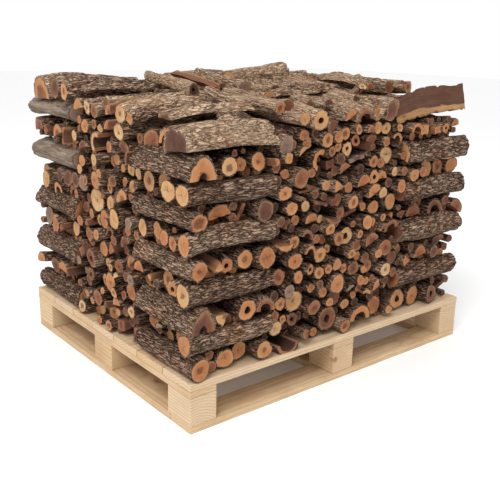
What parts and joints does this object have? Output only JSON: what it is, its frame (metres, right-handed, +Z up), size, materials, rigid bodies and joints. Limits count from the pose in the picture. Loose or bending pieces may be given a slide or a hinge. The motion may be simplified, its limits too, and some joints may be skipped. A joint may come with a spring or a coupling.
{
  "type": "palletised firewood stack",
  "caption": "Square stack of round and split firewood logs on a four-way timber pallet, with crossed logs at the corners and loose logs on top.",
  "frame": {"origin": "centre of the pallet's footprint, on the ground", "axes": "+X along the pallet's 1200 mm side, +Y along its 1000 mm side towards the back, +Z up"},
  "size_m": [1.2, 1, 0.9613],
  "materials": {
    "pallet_timber": "rough-sawn pale softwood with knots and end grain",
    "bark_log": "furrowed grey-brown bark with sawn orange-tan ends",
    "split_log": "split reddish-brown heartwood with pale sapwood edges",
    "stacked_logs": "packed logs: furrowed bark, sawn ends and split faces"
  },
  "bodies": {
    "root": {"block_back_left": "pallet_timber", "block_back_middle": "pallet_timber", "block_back_right": "pallet_timber", "block_centre_left": "pallet_timber", "block_centre_middle": "pallet_timber", "block_centre_right": "pallet_timber", "block_front_left": "pallet_timber", "block_front_middle": "pallet_timber", "block_front_right": "pallet_timber", "bottom_board_back": "pallet_timber", "bottom_board_front": "pallet_timber", "bottom_board_left": "pallet_timber", "bottom_board_middle": "pallet_timber", "bottom_board_right": "pallet_timber", "corner_logs_back_left": "stacked_logs", "corner_logs_back_right": "stacked_logs", "corner_logs_front_left": "stacked_logs", "corner_logs_front_right": "stacked_logs", "crib_log_back_left_1": "bark_log", "crib_log_back_left_3": "bark_log", "crib_log_back_left_5": "split_log", "crib_log_back_left_7": "split_log", "crib_log_back_left_9": "split_log", "crib_log_front_left_1": "bark_log", "crib_log_front_left_2": "bark_log", "crib_log_front_left_3": "split_log", "crib_log_front_left_4": "bark_log", "crib_log_front_left_5": "bark_log", "crib_log_front_left_6": "bark_log", "crib_log_front_left_7": "bark_log", "crib_log_front_left_8": "bark_log", "crib_log_front_left_9": "split_log", "crib_log_front_right_2": "bark_log", "crib_log_front_right_4": "bark_log", "crib_log_front_right_6": "bark_log", "crib_log_front_right_8": "split_log", "deck_board_1": "pallet_timber", "deck_board_2": "pallet_timber", "deck_board_3": "pallet_timber", "deck_board_4": "pallet_timber", "deck_board_5": "pallet_timber", "deck_board_6": "pallet_timber", "deck_board_7": "pallet_timber", "stack_back": "stacked_logs", "stack_core": "stacked_logs", "stack_front": "stacked_logs", "stack_left": "stacked_logs", "stack_right": "stacked_logs", "stringer_board_left": "pallet_timber", "stringer_board_middle": "pallet_timber", "stringer_board_right": "pallet_timber", "top_half_log_left": "bark_log", "top_log_left_1": "bark_log", "top_log_left_2": "bark_log", "top_log_lengthways": "bark_log", "top_log_peak": "bark_log", "top_logs": "stacked_logs", "top_slab_front_left": "bark_log", "top_slab_front_right": "split_log", "top_split_piece": "split_log"}
  },
  "joints": []
}
